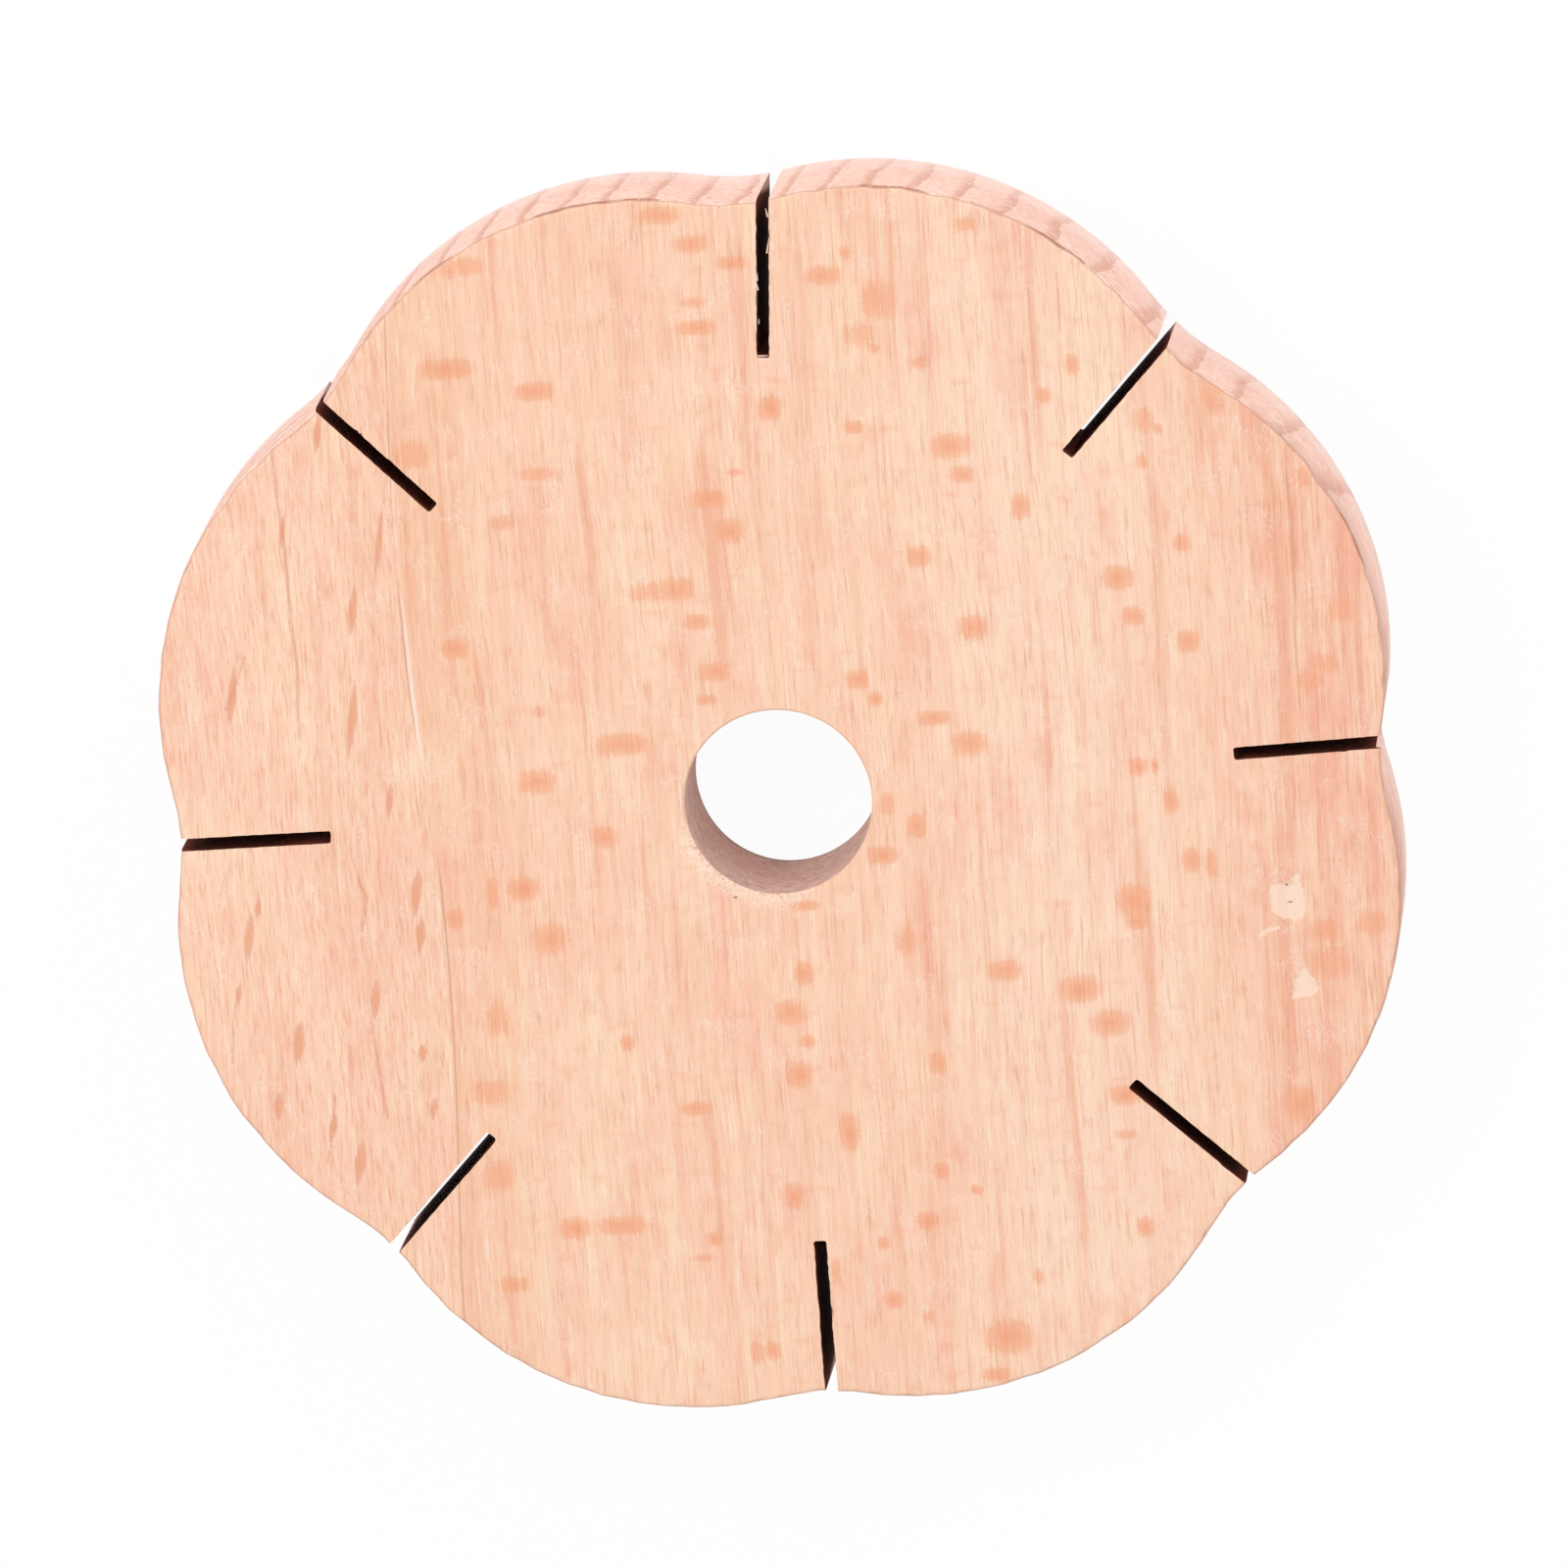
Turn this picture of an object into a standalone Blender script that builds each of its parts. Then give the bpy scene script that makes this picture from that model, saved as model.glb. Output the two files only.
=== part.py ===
"""Kumihimo braiding disk, cut from one beech board.

Eight round lobes run into one another through shallow hollows. A narrow kerf, burnt
through the board, enters at the bottom of each hollow and grips a thread. The finished
braid goes down through the bore in the middle.

The disk lies on its back. The origin is at the middle of the underside, +Z points
out of the worked face, the grain of the board runs along Y, and a kerf lies close to
each of the X and Y axes. Lengths are in metres.
"""
import math

import bmesh
import bpy
from mathutils import Matrix, Vector

MM = 0.001

# Outline of the board
THICKNESS = 12.0 * MM
LOBE_COUNT = 8
LOBE_REACH = 50.0 * MM        # middle of the disk to the tip of a lobe
LOBE_RADIUS = 27.3 * MM       # round of a lobe
HOLLOW_RADIUS = 17.5 * MM     # round of the hollow between two lobes
ARRIS_EASE = 0.25 * MM        # sharp corner rubbed off both rims of the outline

# Bore for the braid
BORE_DIAMETER = 14.7 * MM
BORE_EASE = 0.15 * MM         # sharp corner rubbed off both rims of the bore

# Kerfs for the threads
KERF_WIDTH = 1.0 * MM
KERF_DEPTH = 12.0 * MM        # bottom of a hollow to the closed end of its kerf
KERF_CORNER_RADIUS = 0.2 * MM
KERF_LEAN = 0.28 * MM         # sideways drift of every kerf from face to underside
KERF_LEAN_HEADING_DEG = -44.0 # where they drift, because the board lay out of square

# The disk was marked out and shaped by hand, so nothing repeats exactly. These are the
# small strays read from the object, counted anticlockwise from +X: lobes from the first
# one past +X, kerfs from the one beside +X.
LOBE_TURN_DEG = (0.4, 0.6, -0.4, -0.4, 0.4, 0.3, -0.5, -0.3)
LOBE_STRAY_MM = (-0.2, 0.1, 0.1, -0.2, -0.3, 0.2, 0.2, -0.1)
KERF_TURN_DEG = (1.4, 1.2, -4.0, -1.0, -0.1, 0.8, 0.1, 1.3)
KERF_ASIDE_MM = (0.9, 0.5, 1.0, 0.7, 0.8, 0.2, 0.6, 0.6)
KERF_SHORT_MM = (0.4, 0.5, -0.1, 0.0, -0.2, -0.1, 0.0, 0.1)

# How the shapes are drawn
ARC_STEP_DEG = 3.0            # longest step along the arcs of the outline
ARRIS_SEGMENTS = 2
BORE_SEGMENTS = 72
CORNER_SEGMENTS = 3
CUT_OVERRUN = 1.0 * MM        # how far a cutter stands out of the wood
SHARP_EDGE_DEG = 30.0

# Pale beech with a sanded, unvarnished face
BEECH_COLOUR = (0.91, 0.60, 0.42, 1.0)
BEECH_ROUGHNESS = 0.62


def heading(degrees):
    """Unit vector in the plane of the disk, turned anticlockwise from +X."""
    angle = math.radians(degrees)
    return Vector((math.cos(angle), math.sin(angle), 0.0))


def angle_of(vector):
    return math.atan2(vector.y, vector.x)


def lobe_heading(index):
    pitch = 360.0 / LOBE_COUNT
    return (index + 0.5) * pitch


def lobe_centre(index):
    """Middle of a lobe's arc, with the stray that belongs to that lobe."""
    stray = index % len(LOBE_TURN_DEG)
    reach = LOBE_REACH + LOBE_STRAY_MM[stray] * MM
    return heading(lobe_heading(index) + LOBE_TURN_DEG[stray]) * (reach - LOBE_RADIUS)


def hollow_centre(lobe_before, lobe_after):
    """Middle of the arc that is tangent to two neighbouring lobes from outside."""
    halfway = (lobe_before + lobe_after) / 2.0
    half_gap = (lobe_after - lobe_before).length / 2.0
    rise = math.sqrt((LOBE_RADIUS + HOLLOW_RADIUS) ** 2 - half_gap ** 2)
    across = (lobe_after - lobe_before).normalized()
    outwards = Vector((across.y, -across.x, 0.0))
    return halfway + outwards * rise


def arc(centre, radius, start, end):
    """Points on an arc from start up to, but without, end."""
    steps = max(2, math.ceil(abs(math.degrees(end - start)) / ARC_STEP_DEG))
    for step in range(steps):
        angle = start + (end - start) * step / steps
        yield centre + Vector((math.cos(angle), math.sin(angle), 0.0)) * radius


def turn_to(start, end, direction):
    """The angle end, written so that going there from start turns in direction."""
    turn = (end - start) * direction % (2.0 * math.pi)
    return start + direction * turn


def outline_points():
    """Lobe, hollow, lobe, hollow and so on, anticlockwise round the disk."""
    lobes = [lobe_centre(index) for index in range(LOBE_COUNT)]
    hollows = [hollow_centre(lobes[index - 1], lobes[index]) for index in range(LOBE_COUNT)]
    points = []
    for index, lobe in enumerate(lobes):
        hollow_before = hollows[index]
        hollow_after = hollows[(index + 1) % LOBE_COUNT]
        next_lobe = lobes[(index + 1) % LOBE_COUNT]

        start = angle_of(hollow_before - lobe)
        end = turn_to(start, angle_of(hollow_after - lobe), 1)
        points.extend(arc(lobe, LOBE_RADIUS, start, end))

        start = angle_of(lobe - hollow_after)
        end = turn_to(start, angle_of(next_lobe - hollow_after), -1)
        points.extend(arc(hollow_after, HOLLOW_RADIUS, start, end))
    return points


def hollow_floor_radius():
    """Middle of the disk to the bottom of an even hollow."""
    half_pitch = math.pi / LOBE_COUNT
    lobe_distance = LOBE_REACH - LOBE_RADIUS
    rise = math.sqrt(
        (LOBE_RADIUS + HOLLOW_RADIUS) ** 2 - (lobe_distance * math.sin(half_pitch)) ** 2
    )
    return lobe_distance * math.cos(half_pitch) + rise - HOLLOW_RADIUS


def new_object(name, bm):
    mesh = bpy.data.meshes.new(name)
    bm.to_mesh(mesh)
    bm.free()
    made = bpy.data.objects.new(name, mesh)
    bpy.context.scene.collection.objects.link(made)
    return made


def make_blank():
    """The board sawn to its outline, with both rims rubbed smooth."""
    bm = bmesh.new()
    underside = bm.faces.new([bm.verts.new(point) for point in outline_points()])
    grown = bmesh.ops.extrude_face_region(bm, geom=[underside])
    raised = [item for item in grown["geom"] if isinstance(item, bmesh.types.BMVert)]
    bmesh.ops.translate(bm, vec=(0.0, 0.0, THICKNESS), verts=raised)
    bmesh.ops.recalc_face_normals(bm, faces=bm.faces)
    rims = [edge for edge in bm.edges if edge.verts[0].co.z == edge.verts[1].co.z]
    bmesh.ops.bevel(
        bm, geom=rims, offset=ARRIS_EASE, offset_type="OFFSET", affect="EDGES",
        segments=ARRIS_SEGMENTS, profile=0.5, material=-1, clamp_overlap=True,
    )
    return new_object("braiding_disk", bm)


def make_bore_cutter():
    """A turned plug that flares at both faces, so that it eases the rims it cuts."""
    radius = BORE_DIAMETER / 2.0
    flare = BORE_EASE + CUT_OVERRUN
    profile = [
        (radius + flare, -CUT_OVERRUN),
        (radius, BORE_EASE),
        (radius, THICKNESS - BORE_EASE),
        (radius + flare, THICKNESS + CUT_OVERRUN),
    ]
    bm = bmesh.new()
    corners = [bm.verts.new((out, 0.0, up)) for out, up in profile]
    side = [bm.edges.new(pair) for pair in zip(corners, corners[1:])]
    bmesh.ops.spin(
        bm, geom=corners + side, cent=(0.0, 0.0, 0.0), axis=(0.0, 0.0, 1.0),
        angle=2.0 * math.pi, steps=BORE_SEGMENTS, use_merge=True,
    )
    bmesh.ops.holes_fill(bm, edges=bm.edges, sides=BORE_SEGMENTS)
    bmesh.ops.recalc_face_normals(bm, faces=bm.faces)
    return new_object("bore_cutter", bm)


def add_kerf(bm, index):
    """One kerf's shape, from outside the rim to its closed end."""
    stray = index % len(KERF_TURN_DEG)
    closed_end = hollow_floor_radius() - KERF_DEPTH + KERF_SHORT_MM[stray] * MM
    length = LOBE_REACH + CUT_OVERRUN - closed_end
    height = THICKNESS + 2.0 * CUT_OVERRUN
    verts = bmesh.ops.create_cube(bm, size=1.0)["verts"]
    bmesh.ops.scale(bm, vec=(length, KERF_WIDTH, height), verts=verts)
    middle = (closed_end + length / 2.0, KERF_ASIDE_MM[stray] * MM, THICKNESS / 2.0)
    bmesh.ops.translate(bm, vec=middle, verts=verts)

    edges = {edge for vert in verts for edge in vert.link_edges}
    inner_corners = [
        edge for edge in edges
        if edge.verts[0].co.xy == edge.verts[1].co.xy and edge.verts[0].co.x < middle[0]
    ]
    rounded = bmesh.ops.bevel(
        bm, geom=inner_corners, offset=KERF_CORNER_RADIUS, offset_type="OFFSET",
        affect="EDGES", segments=CORNER_SEGMENTS, profile=0.5, material=-1,
        clamp_overlap=True,
    )
    whole = set(rounded["verts"]) | {vert for vert in verts if vert.is_valid}
    turn = math.radians(index * 360.0 / LOBE_COUNT + KERF_TURN_DEG[stray])
    bmesh.ops.rotate(bm, cent=(0.0, 0.0, 0.0), matrix=Matrix.Rotation(turn, 3, "Z"),
                     verts=list(whole))


def make_kerf_cutter():
    bm = bmesh.new()
    for index in range(LOBE_COUNT):
        add_kerf(bm, index)
    drift = heading(KERF_LEAN_HEADING_DEG) * KERF_LEAN
    for vert in bm.verts:
        vert.co += drift * (THICKNESS - vert.co.z) / THICKNESS
    return new_object("kerf_cutter", bm)


def cut(body, cutter):
    """Take the cutter's shape out of the body for good, and throw the cutter away."""
    boolean = body.modifiers.new("cut", "BOOLEAN")
    boolean.operation = "DIFFERENCE"
    boolean.solver = "EXACT"
    boolean.object = cutter
    depsgraph = bpy.context.evaluated_depsgraph_get()
    body.data = bpy.data.meshes.new_from_object(body.evaluated_get(depsgraph))
    body.modifiers.remove(boolean)
    bpy.data.objects.remove(cutter)


def make_beech():
    beech = bpy.data.materials.new("beech")
    beech.use_nodes = True
    surface = beech.node_tree.nodes["Principled BSDF"]
    surface.inputs["Base Color"].default_value = BEECH_COLOUR
    surface.inputs["Roughness"].default_value = BEECH_ROUGHNESS
    surface.inputs["Metallic"].default_value = 0.0
    beech.diffuse_color = BEECH_COLOUR
    return beech


def main():
    for old in list(bpy.data.objects):
        bpy.data.objects.remove(old)
    disk = make_blank()
    cut(disk, make_bore_cutter())
    cut(disk, make_kerf_cutter())
    disk.data.name = disk.name
    disk.data.materials.clear()
    disk.data.materials.append(make_beech())
    disk.data.shade_smooth()
    disk.data.set_sharp_from_angle(angle=math.radians(SHARP_EDGE_DEG))


main()
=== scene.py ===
# %% [markdown]
# A kumihimo disk is a flat wooden tool for braiding. Eight threads are gripped in the
# kerfs round its rim, they cross over the worked face, and the braid grows down through
# the bore. This one was sawn from beech, drilled, sanded by hand and left bare, and its
# kerfs were burnt through. The finished model comes in as a fixed frame, which is never
# moved or resized. This file gives it a finer mesh, worn edges and the finish of wood.

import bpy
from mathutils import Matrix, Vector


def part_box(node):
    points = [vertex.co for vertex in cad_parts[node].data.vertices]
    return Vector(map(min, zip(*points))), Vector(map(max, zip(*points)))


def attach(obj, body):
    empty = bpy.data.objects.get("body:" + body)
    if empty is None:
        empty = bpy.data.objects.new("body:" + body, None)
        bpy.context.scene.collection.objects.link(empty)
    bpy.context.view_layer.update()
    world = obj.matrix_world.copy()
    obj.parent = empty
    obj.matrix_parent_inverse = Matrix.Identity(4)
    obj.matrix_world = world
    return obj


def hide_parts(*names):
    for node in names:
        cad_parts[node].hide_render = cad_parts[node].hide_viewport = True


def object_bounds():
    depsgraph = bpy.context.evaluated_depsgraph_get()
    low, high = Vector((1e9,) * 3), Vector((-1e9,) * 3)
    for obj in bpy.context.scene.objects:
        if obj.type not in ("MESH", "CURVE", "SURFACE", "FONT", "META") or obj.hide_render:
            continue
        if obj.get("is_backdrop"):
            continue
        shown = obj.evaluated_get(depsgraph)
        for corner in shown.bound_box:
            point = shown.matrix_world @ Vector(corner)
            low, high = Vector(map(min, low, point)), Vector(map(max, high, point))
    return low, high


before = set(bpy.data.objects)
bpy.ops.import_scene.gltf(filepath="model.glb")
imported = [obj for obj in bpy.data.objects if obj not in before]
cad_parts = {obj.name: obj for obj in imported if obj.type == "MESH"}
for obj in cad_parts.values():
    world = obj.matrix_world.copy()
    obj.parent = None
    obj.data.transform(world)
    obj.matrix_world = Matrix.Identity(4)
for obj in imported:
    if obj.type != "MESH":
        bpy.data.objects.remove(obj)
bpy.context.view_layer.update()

# %% [markdown]
# The wood has marks down to a tenth of a millimetre, so every length below is written in
# millimetres and turned into Blender's metres by one factor. The thickness is read from
# the frame. The other sizes follow from how the disk was drilled and cut, and they tell
# the surfaces apart later.

# %% Sizes in millimetres
import math

import bmesh
import bpy
import numpy as np
from mathutils import Matrix, Vector, noise
from mathutils.kdtree import KDTree

MM = 0.001
disk_low, disk_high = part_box("braiding_disk")
THICKNESS = (disk_high.z - disk_low.z) / MM
BORE_RADIUS = 7.35
KERF_MOUTH = 46.5  # inside this, an upright face belongs to a kerf
FACE_HEIGHT = THICKNESS - 0.01  # a point that is higher lies on the worked face
print("thickness, mm:", round(THICKNESS, 2))

# %% [markdown]
# The photograph was taken from well above with a long lens: the far rim shows and the
# near one is hidden. A camera can be turned with three angles, but here its axes are
# built as vectors, because the way it leans is then plain to read. It looks down at a
# point on the worked face, tipped from straight above, from a little to the right.

# %% Camera at the photograph's angle
CAMERA_AIM = Vector((0.58, 1.43, THICKNESS))
CAMERA_DISTANCE = 1223.7
CAMERA_TILT = math.radians(13.28)  # away from straight above
CAMERA_HEADING = math.radians(68.05)  # towards here, anticlockwise from +X
CAMERA_TURN = math.radians(4.27)  # clockwise turn of the picture's upright
LENS = 360.0
SENSOR = 36.0

back = Vector((
    math.sin(CAMERA_TILT) * math.cos(CAMERA_HEADING),
    math.sin(CAMERA_TILT) * math.sin(CAMERA_HEADING),
    math.cos(CAMERA_TILT),
))
upright = Vector((math.sin(CAMERA_TURN), math.cos(CAMERA_TURN), 0.0))
right = upright.cross(back).normalized()
up = back.cross(right)

lens = bpy.data.cameras.new("camera")
lens.lens = LENS
lens.sensor_width = SENSOR
camera = bpy.data.objects.new("camera", lens)
bpy.context.scene.collection.objects.link(camera)
camera.matrix_world = Matrix.LocRotScale(
    (CAMERA_AIM + back * CAMERA_DISTANCE) * MM,
    Matrix((right, up, back)).transposed().to_quaternion(),
    None,
)
bpy.context.scene.camera = camera
print("camera at, mm:", [round(x / MM) for x in camera.location])

# %% [markdown]
# Colours are written as the sRGB hex values that a paint program shows. Blender's sockets
# take linear light, so one function converts them. Another adds a node with its settings
# and links, and a third measures how far a value is from another. With these every
# material below stays a short list of steps.

# %% Helpers for materials
def linear(hex_colour):
    """An sRGB hex value such as FACCAD as a linear colour with full alpha."""
    channels = [int(hex_colour[start:start + 2], 16) / 255.0 for start in (0, 2, 4)]
    light = [c / 12.92 if c <= 0.04045 else ((c + 0.055) / 1.055) ** 2.4 for c in channels]
    return (*light, 1.0)


def add(tree, kind, inputs=None, **settings):
    """Add a node. An input is a plain value, or a socket that gets linked."""
    node = tree.nodes.new(kind)
    for name, value in settings.items():
        setattr(node, name, value)
    for name, value in (inputs or {}).items():
        if isinstance(value, bpy.types.NodeSocket):
            tree.links.new(value, node.inputs[name])
        else:
            node.inputs[name].default_value = value
    return node


def distance(tree, value, place):
    """How far a value lies from a place on its scale, to either side."""
    past = add(tree, "ShaderNodeMath", {0: value, 1: place}, operation="SUBTRACT")
    return add(tree, "ShaderNodeMath", {0: past.outputs[0]}, operation="ABSOLUTE").outputs[0]


print("peach FACCAD in linear light:", [round(c, 3) for c in linear("FACCAD")])

# %% [markdown]
# The floor is plain paper. Lit like the disk it would come out pale grey, so for rays that
# come straight from the camera most of it glows at a strength of 1, which is white, and
# the rest takes the light, so that the shadow of the disk stays. The disk itself gets no
# light from this trick.

# %% Paper floor
FLOOR_SIZE = 8000.0
FLOOR_GAP = 0.05  # just under the disk, so that the two faces don't fight
FLOOR_GLOW = 0.95

bm = bmesh.new()
bmesh.ops.create_grid(bm, x_segments=1, y_segments=1, size=FLOOR_SIZE * MM / 2)
bmesh.ops.translate(bm, verts=bm.verts, vec=(0.0, 0.0, -FLOOR_GAP * MM))
floor_mesh = bpy.data.meshes.new("floor")
bm.to_mesh(floor_mesh)
bm.free()
floor = bpy.data.objects.new("floor", floor_mesh)
bpy.context.scene.collection.objects.link(floor)

paper = bpy.data.materials.new("white paper, matt")
paper.use_nodes = True
tree = paper.node_tree
tree.nodes.clear()
rays = add(tree, "ShaderNodeLightPath")
straight = add(tree, "ShaderNodeMath", {
    0: rays.outputs["Is Camera Ray"], 1: rays.outputs["Is Glossy Ray"],
}, operation="MAXIMUM")
seen = add(tree, "ShaderNodeMath", {
    0: straight.outputs[0], 1: rays.outputs["Is Transmission Ray"],
}, operation="MAXIMUM")
glow_share = add(tree, "ShaderNodeMath", {0: seen.outputs[0], 1: FLOOR_GLOW}, operation="MULTIPLY")
matt = add(tree, "ShaderNodeBsdfDiffuse", {"Color": linear("FBFBFB")})
glow = add(tree, "ShaderNodeEmission", {"Color": linear("FFFFFF"), "Strength": 1.0})
mixed = add(tree, "ShaderNodeMixShader", {
    0: glow_share.outputs[0], 1: matt.outputs[0], 2: glow.outputs[0],
})
add(tree, "ShaderNodeOutputMaterial", {"Surface": mixed.outputs[0]})
floor_mesh.materials.append(paper)
floor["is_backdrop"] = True
print("floor material nodes:", len(paper.node_tree.nodes))

# %% [markdown]
# Soft studio light has three parts here. A white surround lights every side about alike,
# a large lamp from the upper left gives the fibres a little shade, and a low one from
# behind lights the far rim. Together they send as much light to the worked face as a
# strength of 1 does, so that a colour renders about as it is written.

# %% Soft light
SURROUND = 0.72
LAMP_SIZE = 700.0
LAMPS = (  # name, watts, place
    ("soft lamp", 4.6, Vector((-620.0, 420.0, 980.0))),
    ("low soft lamp", 2.6, Vector((640.0, 850.0, 380.0))),
)

world = bpy.data.worlds.new("white surround")
bpy.context.scene.world = world
world.use_nodes = True
tree = world.node_tree
tree.nodes.clear()
rays = add(tree, "ShaderNodeLightPath")
strength = add(tree, "ShaderNodeMapRange", {
    "Value": rays.outputs["Is Camera Ray"], "To Min": SURROUND, "To Max": 1.0,
})
sky = add(tree, "ShaderNodeBackground", {
    "Color": linear("FFFFFF"), "Strength": strength.outputs[0],
})
add(tree, "ShaderNodeOutputWorld", {"Surface": sky.outputs[0]})

for name, watts, place in LAMPS:
    bulb = bpy.data.lights.new(name, "AREA")
    bulb.shape = "DISK"
    bulb.size = LAMP_SIZE * MM
    bulb.energy = watts
    lamp = bpy.data.objects.new(name, bulb)
    bpy.context.scene.collection.objects.link(lamp)
    lamp.location = place * MM
    lamp.rotation_mode = "QUATERNION"
    lamp.rotation_quaternion = place.to_track_quat("Z", "Y")
bpy.context.scene.view_settings.view_transform = "Standard"
print("lamps:", [name for name, *rest in LAMPS])

# %% [markdown]
# The disk could keep the frame's own mesh with a better material. But the edges of its
# kerfs are ragged, wood is torn out round its bore, and two flakes are missing, and those
# need points to move. So it gets a mesh of its own, which starts as a copy: the frame's
# triangles are loose, so they are merged first, and what lies flat is joined into whole
# faces, which are easy to sort and cut.

# %% Copy the disk's mesh
MERGE = 0.001  # points closer than this are one point
FLAT = math.radians(0.5)

bm = bmesh.new()
bm.from_mesh(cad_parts["braiding_disk"].data)
bmesh.ops.remove_doubles(bm, verts=bm.verts, dist=MERGE * MM)
bmesh.ops.dissolve_limit(
    bm, angle_limit=FLAT, verts=bm.verts, edges=bm.edges, use_dissolve_boundaries=False,
)
print("whole faces:", len(bm.faces), "open edges:", sum(edge.is_boundary for edge in bm.edges))

# %% [markdown]
# Wood looks different on each kind of cut: the sanded faces, the sawn rim, the drilled
# wall and the charred kerfs. Each gets a material slot of its own, and a face is sorted
# into one by which way it points and how far out it lies.

# %% Sort the faces by how they were cut
SANDED, RIM, BORED, KERF = range(4)
SURFACE_NAMES = ("sanded faces", "rim", "bore", "kerfs")
LEVEL = 0.9  # a face that points this much up or down is a flat one
UPRIGHT = 0.5  # and one that points less than this is a wall
LIP_WIDTH = 0.5  # a small face this close to the bore belongs to its wall or lip


def surface_of(face):
    middle = face.calc_center_median() / MM
    reach = middle.xy.length
    if reach < BORE_RADIUS + LIP_WIDTH:
        return BORED if abs(face.normal.z) < UPRIGHT else SANDED
    if abs(face.normal.z) > LEVEL:
        return SANDED
    return KERF if reach < KERF_MOUTH else RIM


for face in bm.faces:
    face.material_index = surface_of(face)
for index, name in enumerate(SURFACE_NAMES):
    area = sum(face.calc_area() for face in bm.faces if face.material_index == index)
    print(name, "area, mm2:", round(area / MM ** 2, 1))

# %% [markdown]
# The marks of the wood will be painted on the points of the mesh, so the worked face
# needs points closer together than a mark is wide. Subdividing long thin triangles would
# crowd them in some places and leave others bare. Instead the face is scored by straight
# cuts both ways, like a sheet of squared paper. The left stave has narrower marks, so its
# squares are narrower. The wood round the bore, at the two flakes and along one vein on
# the right is scored again, halfway between the cuts.

# %% Score the worked face into small squares
ON_CUT = 1e-7  # in metres: a point this close to a cut lies on it


def with_parts(faces):
    """Faces with their edges and points, which is what a cut takes."""
    edges = {edge for face in faces for edge in face.edges}
    points = {point for face in faces for point in face.verts}
    return faces + list(edges) + list(points)


def worked_faces(low=(-99.0, -99.0), high=(99.0, 99.0)):
    """Faces of the worked side, with their edges and points, inside a rectangle."""
    found = []
    for face in bm.faces:
        middle = face.calc_center_median() / MM
        inside = low[0] < middle.x < high[0] and low[1] < middle.y < high[1]
        if inside and face.material_index == SANDED and face.normal.z > LEVEL:
            found.append(face)
    return with_parts(found)


def score(geometry, axis, start, stop, step):
    """Cut straight across the geometry at even steps along one axis."""
    across = Vector((axis == 0, axis == 1, 0))
    for count in range(math.floor((stop - start) / step) + 1):
        place = across * (start + count * step) * MM
        geometry = bmesh.ops.bisect_plane(
            bm, geom=geometry, plane_co=place, plane_no=across, dist=ON_CUT,
        )["geom"]
    return geometry


REACH = 49.2  # a whole number of squares, so that later cuts fall between
STAVE_JOINT = -27.6  # where the narrow stave on the left ends
SQUARE = 0.4
whole = worked_faces()
whole = score(whole, 0, -REACH, STAVE_JOINT, SQUARE / 2)
whole = score(whole, 0, STAVE_JOINT + SQUARE, REACH, SQUARE)
whole = score(whole, 1, -REACH, REACH, SQUARE)

BORE_SURROUND = ((-10.0, -10.0), (10.0, 10.0))
FLAKE_SURROUNDS = (((36.4, -13.2), (41.2, -7.6)), ((38.4, -18.4), (41.6, -14.8)))
VEIN_SURROUND = ((40.8, 6.0), (42.4, 25.0))


def score_between(low, high, step, axes=(0, 1)):
    """Cut a rectangle again, halfway between the cuts that are a step apart."""
    patch = worked_faces(low, high)
    for axis in axes:
        patch = score(patch, axis, low[axis] + step / 2, high[axis], step)


for low, high in (BORE_SURROUND, *FLAKE_SURROUNDS):
    score_between(low, high, SQUARE)
for low, high in FLAKE_SURROUNDS:
    score_between(low, high, SQUARE / 2)
score_between(*VEIN_SURROUND, SQUARE, axes=(0,))
print("faces after scoring:", len(bm.faces))

# %% [markdown]
# A kerf that is burnt through wood keeps nearly straight edges. Small splinters still
# break away from them, more where the cut runs along the grain, so the points on the
# kerfs' upper edges move sideways by a smooth noise. A level cut just below keeps the
# rest of each wall flat. In a few places a bigger splinter is gone.

# %% Ragged edges of the kerfs
KERF_RAG = 0.07  # most that an edge along the grain strays
RAG_ACROSS = 0.4  # share of it left where the cut runs across the grain
KERF_RAG_LENGTH = 0.45  # length of one splinter
RAG_DEPTH = 0.6  # the raggedness ends this far below the face
NICKS = (  # x, y, length, depth of the splinters that are gone
    (2.6, 44.2, 1.4, 0.16), (1.7, 41.6, 1.0, 0.14), (1.5, 40.0, 0.6, 0.12),
    (1.0, -41.3, 1.1, 0.22), (-30.5, 31.2, 1.0, 0.14), (-28.2, 28.9, 0.7, 0.12),
    (44.5, 1.5, 0.6, 0.1), (32.6, -31.4, 1.0, 0.18), (1.3, -45.1, 0.8, 0.12),
)


def cut_level(surface, depth):
    """Cut the walls of one kind level, at a depth below the worked face."""
    walls = [face for face in bm.faces if face.material_index == surface]
    height = (THICKNESS - depth) * MM
    bmesh.ops.bisect_plane(bm, geom=with_parts(walls), plane_co=(0.0, 0.0, height),
                           plane_no=(0.0, 0.0, 1.0), dist=ON_CUT)


cut_level(KERF, RAG_DEPTH)
ragged = 0
for point in bm.verts:
    if point.co.z < FACE_HEIGHT * MM:
        continue
    sides = [face.normal for face in point.link_faces if face.material_index == KERF]
    if not sides or point.co.xy.length > KERF_MOUTH * MM:
        continue
    into_kerf = sum(sides, Vector()).normalized()
    along_grain = RAG_ACROSS + (1.0 - RAG_ACROSS) * abs(into_kerf.x) ** 4
    stray = noise.noise(point.co / (KERF_RAG_LENGTH * MM)) * KERF_RAG * along_grain
    for x, y, length, depth in NICKS:
        away = (point.co.xy / MM - Vector((x, y))).length
        stray -= depth * max(0.0, 1.0 - away / (length / 2))
    point.co += into_kerf * stray * MM
    ragged += 1
print("points moved on kerf edges:", ragged)

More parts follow.
